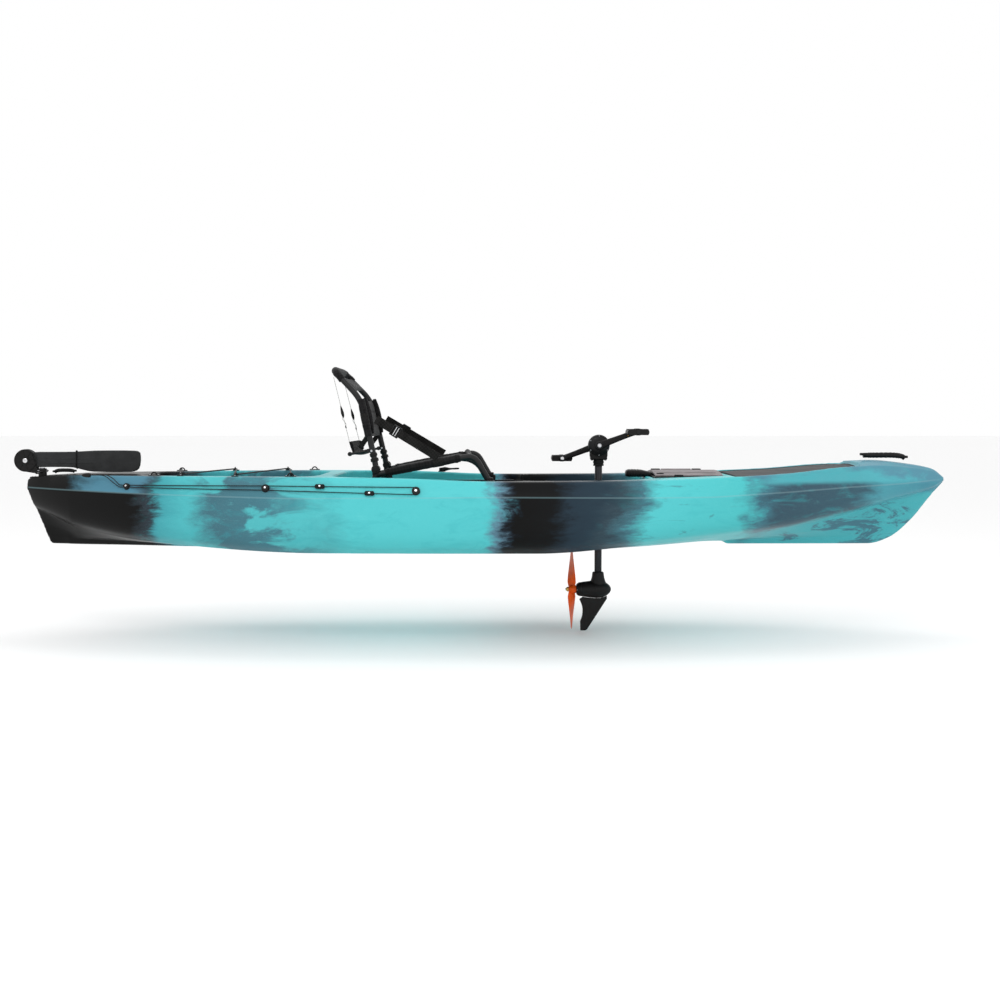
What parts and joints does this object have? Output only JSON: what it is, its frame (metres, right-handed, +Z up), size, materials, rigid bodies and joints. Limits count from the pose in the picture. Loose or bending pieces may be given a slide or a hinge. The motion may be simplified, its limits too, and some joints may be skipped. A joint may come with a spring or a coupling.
{
  "type": "pedal drive kayak",
  "caption": "Sit-on-top fishing kayak with a drop-in pedal drive, framed seat, stowed rudder, console and covered bow well.",
  "frame": {"origin": "centre of the hull's flat bottom at mid length, on the centreline", "axes": "+X to the bow, +Y to port, +Z up"},
  "size_m": [3.791, 0.8651, 1.0702],
  "materials": {
    "hull_plastic": "semi-gloss rotomoulded polyethylene in blended turquoise, slate and black",
    "black_plastic": "moulded, slightly textured",
    "grey_plastic": "moulded, fine grain",
    "charcoal_plastic": "moulded, fine grain",
    "black_alloy": "black anodised or powder coated aluminium",
    "stainless_steel": "machined",
    "brass": "machined",
    "orange_plastic": "moulded, satin",
    "mesh_fabric": "open black polyester mesh",
    "webbing": "woven black webbing",
    "cord": "braided black cord"
  },
  "bodies": {
    "hull": {"hull": "hull_plastic", "trunk_flange": "black_plastic", "seat_rail_port": "black_alloy", "seat_rail_starboard": "black_alloy", "drain_plug": "black_plastic", "bow_handle": "black_plastic", "stern_handle": "black_plastic", "bow_mesh_cover": "mesh_fabric", "rear_bungee": "cord", "deck_eye_1": "black_plastic", "deck_eye_2": "black_plastic", "deck_eye_3": "black_plastic", "deck_eye_4": "black_plastic", "console_body": "black_plastic", "console_hinge_pin": "stainless_steel", "rudder_bracket": "black_alloy", "rudder_pintle": "stainless_steel", "rudder_line": "cord", "line_guide_aft": "black_plastic", "line_guide_mid": "black_plastic", "line_pulley": "black_plastic", "steering_lever_base": "black_plastic"},
    "drive": {"gearbox_housing": "black_plastic", "gearbox_cover": "black_plastic", "drive_column": "black_alloy", "mount_plate": "black_plastic", "lower_unit": "black_plastic", "lower_unit_cap": "black_plastic", "skeg": "black_plastic"},
    "cranks": {"crank_axle": "stainless_steel", "crank_gear": "stainless_steel", "crank_arm_port": "black_plastic", "crank_arm_starboard": "black_plastic", "pedal_spindle_port": "stainless_steel", "pedal_spindle_starboard": "stainless_steel"},
    "port_pedal": {"pedal_port": "black_plastic"},
    "starboard_pedal": {"pedal_starboard": "black_plastic"},
    "shaft": {"drive_shaft": "stainless_steel"},
    "screw": {"propeller_shaft": "stainless_steel", "propeller": "orange_plastic", "propeller_nut": "brass"},
    "rudder_head": {"rudder_yoke": "black_plastic", "rudder_pivot_bolt": "stainless_steel"},
    "rudder": {"rudder_blade": "charcoal_plastic"},
    "steering": {"steering_lever": "black_plastic"},
    "raise_grip": {"raise_toggle": "black_plastic"},
    "lower_grip": {"lower_toggle": "black_plastic"},
    "lid": {"console_lid": "grey_plastic"},
    "seat": {"seat_base_frame": "black_alloy", "seat_panel": "mesh_fabric", "seat_strap_port": "webbing", "seat_strap_starboard": "webbing"},
    "port_knob": {"rail_knob_port": "black_plastic"},
    "starboard_knob": {"rail_knob_starboard": "black_plastic"},
    "seat_back": {"seat_back_frame": "black_alloy", "seat_back_panel": "mesh_fabric"},
    "gear_rack": {"gear_rack_frame": "black_alloy", "gear_rack_net": "mesh_fabric"}
  },
  "joints": [
    {"name": "drive_lift", "type": "slide", "parent": "hull", "child": "drive", "axis": [0, 0, 1], "range_m": [0, 0.56]},
    {"name": "crank_spin", "type": "hinge", "parent": "drive", "child": "cranks", "pos_m": [0.455, 0, 0.418], "axis": [0, 1, 0], "continuous": true},
    {"name": "shaft_spin", "type": "hinge", "parent": "drive", "child": "shaft", "pos_m": [0.455, 0, 0.418], "axis": [0, 0, 1], "continuous": true},
    {"name": "propeller_spin", "type": "hinge", "parent": "drive", "child": "screw", "pos_m": [0.455, 0, -0.172], "axis": [1, 0, 0], "continuous": true},
    {"name": "port_pedal_spin", "type": "hinge", "parent": "cranks", "child": "port_pedal", "pos_m": [0.31029, 0.068, 0.36245], "axis": [0, 1, 0], "continuous": true},
    {"name": "starboard_pedal_spin", "type": "hinge", "parent": "cranks", "child": "starboard_pedal", "pos_m": [0.59971, -0.068, 0.47355], "axis": [0, 1, 0], "continuous": true},
    {"name": "rudder_steer", "type": "hinge", "parent": "hull", "child": "rudder_head", "pos_m": [-1.815, 0, 0.31], "axis": [0, 0, 1], "range_deg": [-35, 35]},
    {"name": "rudder_deploy", "type": "hinge", "parent": "rudder_head", "child": "rudder", "pos_m": [-1.88, 0, 0.3565], "axis": [0, -1, 0], "range_deg": [0, 240]},
    {"name": "steering_lever_turn", "type": "hinge", "parent": "hull", "child": "steering", "pos_m": [-0.2, 0.36897, 0.3], "axis": [0, 0, 1], "range_deg": [-35, 35]},
    {"name": "raise_grip_travel", "type": "slide", "parent": "hull", "child": "raise_grip", "axis": [0.9974, -0.0718, -0.0062], "range_m": [0, 0.13]},
    {"name": "lower_grip_travel", "type": "slide", "parent": "hull", "child": "lower_grip", "axis": [-0.9972, 0.0709, 0.0251], "range_m": [0, 0.13]},
    {"name": "seat_slide", "type": "slide", "parent": "hull", "child": "seat", "axis": [1, 0, 0], "range_m": [-0.08, 0.06]},
    {"name": "port_knob_turn", "type": "hinge", "parent": "seat", "child": "port_knob", "pos_m": [0.01, 0.2883, 0.2755], "axis": [0, 1, 0], "continuous": true},
    {"name": "starboard_knob_turn", "type": "hinge", "parent": "seat", "child": "starboard_knob", "pos_m": [0.01, -0.2883, 0.2755], "axis": [0, 1, 0], "continuous": true},
    {"name": "seat_back_fold", "type": "hinge", "parent": "seat", "child": "seat_back", "pos_m": [-0.43, 0, 0.33], "axis": [0, 1, 0], "range_deg": [0, 70], "deforming": ["seat_strap_port", "seat_strap_starboard"]},
    {"name": "gear_rack_fold", "type": "hinge", "parent": "seat_back", "child": "gear_rack", "pos_m": [-0.4625, 0, 0.401], "axis": [0, 1, 0], "range_deg": [0, 45]},
    {"name": "console_lid_open", "type": "hinge", "parent": "hull", "child": "lid", "pos_m": [0.8, 0.1885, 0.3095], "axis": [-1, 0, 0], "range_deg": [0, 100]}
  ],
  "couplings": [
    {"joint": "shaft_spin", "follows": "crank_spin", "ratio": 5},
    {"joint": "propeller_spin", "follows": "crank_spin", "ratio": 10},
    {"joint": "steering_lever_turn", "follows": "rudder_steer", "ratio": 1},
    {"joint": "raise_grip_travel", "follows": "rudder_deploy", "m_per_rad": 0.031},
    {"joint": "lower_grip_travel", "follows": "rudder_deploy", "m_per_rad": 0.031}
  ]
}
